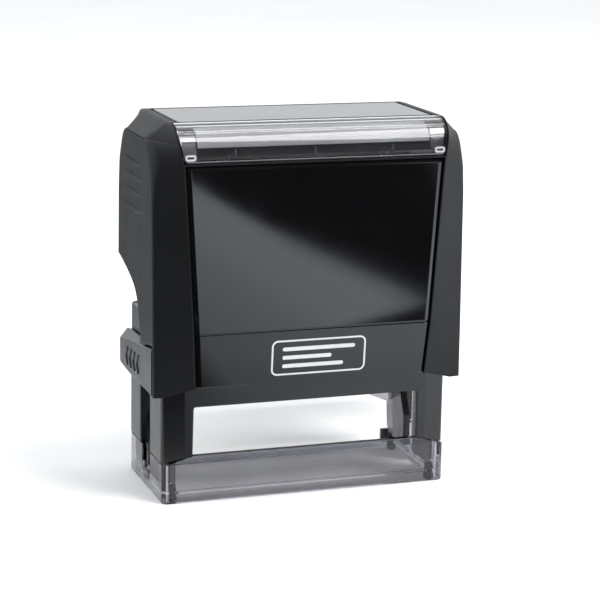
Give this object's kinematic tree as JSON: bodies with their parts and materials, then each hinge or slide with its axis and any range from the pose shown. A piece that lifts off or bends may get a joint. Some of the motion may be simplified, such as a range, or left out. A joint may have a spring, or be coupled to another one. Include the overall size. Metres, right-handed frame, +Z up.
{
  "type": "self inking stamp",
  "caption": "Desk stamp whose sprung cap slides down over an inner frame and turns the die over from the ink pad to the paper, inside a clear positioning base.",
  "frame": {"origin": "middle of the footprint on the surface the stamp stands on", "axes": "+Z up along the cap's travel, front with the index window towards -Y, +X to the right seen from the front, along the hinge axis of the die"},
  "size_m": [0.082, 0.0412, 0.0959],
  "materials": {
    "clear_skirt": "smoky clear plastic, polished",
    "frame_plastic": "satin black plastic",
    "shell_plastic": "fine matt black plastic",
    "panel_gloss": "polished black plastic",
    "roof_gloss": "polished dark plastic",
    "block_plastic": "satin dark plastic",
    "clear_window": "clear plastic, polished",
    "card_paper": "smooth grey card",
    "seat_plastic": "polished dark plastic",
    "mechanism_plastic": "plain moulded plastic",
    "die_rubber": "laser-cut stamp rubber",
    "foot_rubber": "soft black rubber",
    "pad_felt": "felt soaked with black ink",
    "spring_steel": "drawn spring wire"
  },
  "bodies": {
    "frame": {"base_skirt": "clear_skirt", "foot_front_left": "foot_rubber", "foot_front_right": "foot_rubber", "foot_rear_left": "foot_rubber", "foot_rear_right": "foot_rubber", "inner_frame": "frame_plastic", "spring_guide_left": "mechanism_plastic", "spring_guide_right": "mechanism_plastic", "return_spring_left": "spring_steel", "return_spring_right": "spring_steel"},
    "cap": {"cap_shell": "shell_plastic", "front_panel": "panel_gloss", "rear_panel": "panel_gloss", "roof_plate": "roof_gloss", "index_card": "card_paper", "window_seat": "seat_plastic", "axle_block_left": "block_plastic", "axle_block_right": "block_plastic", "axle_pin_left": "spring_steel", "axle_pin_right": "spring_steel"},
    "die": {"die_carrier": "mechanism_plastic", "die_plate": "mechanism_plastic", "rubber_die": "die_rubber"},
    "cartridge": {"cartridge_tray": "mechanism_plastic", "ink_pad": "pad_felt", "cartridge_grip": "mechanism_plastic"},
    "window": {"index_window": "clear_window"}
  },
  "joints": [
    {"name": "press", "type": "slide", "parent": "frame", "child": "cap", "axis": [0, 0, -1], "range_m": [0, 0.028], "stiffness_N_per_m": 400, "springref_m": -0.01, "deforming": ["return_spring_left", "return_spring_right"]},
    {"name": "die_turn", "type": "hinge", "parent": "cap", "child": "die", "pos_m": [0, 0, 0.0336], "axis": [1, 0, 0], "range_deg": [0, 180]},
    {"name": "cartridge_slide", "type": "slide", "parent": "frame", "child": "cartridge", "axis": [0, 1, 0], "range_m": [0, 0.04]},
    {"name": "window_lift", "type": "slide", "parent": "cap", "child": "window", "axis": [0, 0, 1], "range_m": [0, 0.015]}
  ],
  "couplings": [
    {"joint": "die_turn", "follows": "press", "rad_per_m": 112.2}
  ]
}
